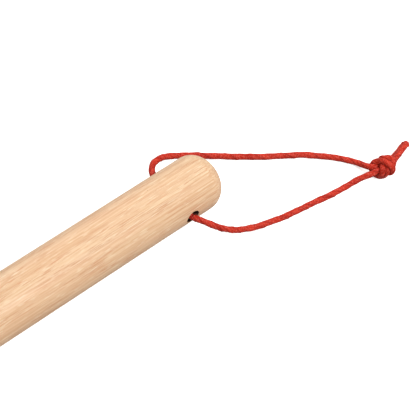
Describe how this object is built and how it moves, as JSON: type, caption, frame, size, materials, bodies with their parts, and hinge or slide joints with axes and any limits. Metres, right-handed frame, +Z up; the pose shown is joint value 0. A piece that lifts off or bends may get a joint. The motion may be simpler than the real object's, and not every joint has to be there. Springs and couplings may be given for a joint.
{
  "type": "garden tool handle with hanging cord",
  "caption": "Turned wooden tool handle with a domed end, a steel ferrule over the tang bore and a knotted red hanging cord through a cross hole.",
  "frame": {"origin": "on the handle's axis, in the mouth of the tang bore at the tool end", "axes": "+X along the handle to its round end, Y along the cross hole, +Z up as the handle lies; the surface it lies on is at z = -0.014"},
  "size_m": [0.4015, 0.074, 0.028],
  "materials": {
    "handle_wood": "fine sanded and clear waxed, satin",
    "ferrule_steel": "brushed round the tube",
    "nail_steel": "plain bright steel",
    "cord_red": "satin, a rolled strip with a spiral seam"
  },
  "bodies": {
    "handle": {"handle": "handle_wood", "ferrule": "ferrule_steel", "ferrule_nails": "nail_steel"},
    "cord": {"cord_loop": "cord_red", "cord_knot": "cord_red", "cord_tails": "cord_red"}
  },
  "joints": [
    {"name": "cord_swing", "type": "hinge", "parent": "handle", "child": "cord", "pos_m": [0.2766, 0, 0], "axis": [0, -1, 0], "range_deg": [-120, 140]}
  ]
}
